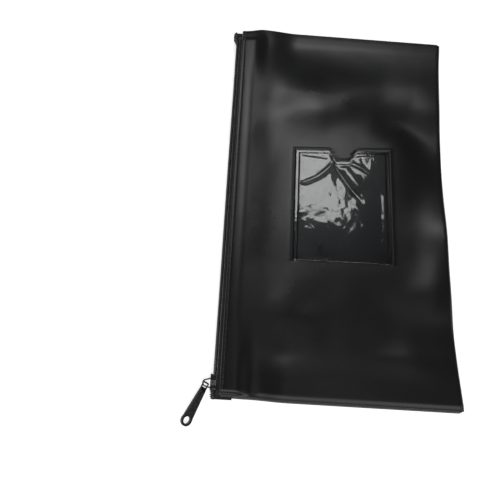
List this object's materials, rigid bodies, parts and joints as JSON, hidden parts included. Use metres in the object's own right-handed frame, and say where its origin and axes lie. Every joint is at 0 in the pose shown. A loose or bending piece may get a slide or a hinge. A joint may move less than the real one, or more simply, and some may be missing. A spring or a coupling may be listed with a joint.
{
  "type": "cash deposit bag",
  "caption": "Flat zipped leatherette cash deposit bag with a clear card window on its front and a slider with a long pull on its long edge.",
  "frame": {"origin": "middle of the back panel's flat outer face, which the bag lies on", "axes": "+Z out of the front panel, +Y along the bag away from the closed slider, +X from the zip to the fold"},
  "size_m": [0.1706, 0.2967, 0.0135],
  "materials": {
    "leatherette": "black embossed leatherette, satin",
    "clear_film": "clear, glossy, slightly crinkled film",
    "zip_tape": "black woven polyester",
    "coil_nylon": "black nylon monofilament",
    "core_cord": "black twisted cord",
    "sewing_thread": "black polyester thread",
    "slider_enamel": "black enamel, glossy"
  },
  "bodies": {
    "bag": {"body_sheet": "leatherette", "card_window_film": "clear_film", "zip_tape_front": "zip_tape", "zip_tape_back": "zip_tape", "zip_coil_front": "coil_nylon", "zip_coil_back": "coil_nylon", "zip_core_cord_front": "core_cord", "zip_core_cord_back": "core_cord", "zip_sewing_thread_front": "sewing_thread", "zip_sewing_thread_back": "sewing_thread", "front_topstitch_needle_thread": "sewing_thread", "front_topstitch_bobbin_thread": "sewing_thread", "back_topstitch_needle_thread": "sewing_thread", "back_topstitch_bobbin_thread": "sewing_thread", "near_seam_needle_thread": "sewing_thread", "near_seam_bobbin_thread": "sewing_thread", "far_seam_needle_thread": "sewing_thread", "far_seam_bobbin_thread": "sewing_thread"},
    "slider": {"zip_slider": "slider_enamel"},
    "pull": {"zip_pull": "slider_enamel"}
  },
  "joints": [
    {"name": "slider_slide", "type": "slide", "parent": "bag", "child": "slider", "axis": [0, 1, 0], "range_m": [0, 0.25], "deforming": ["zip_tape_front", "zip_tape_back", "zip_coil_front", "zip_coil_back", "zip_core_cord_front", "zip_core_cord_back", "zip_sewing_thread_front", "zip_sewing_thread_back"]},
    {"name": "pull_swing", "type": "hinge", "parent": "slider", "child": "pull", "pos_m": [-0.0804, -0.131, 0.0069], "axis": [0, 0, -1], "range_deg": [-10, 130]}
  ]
}
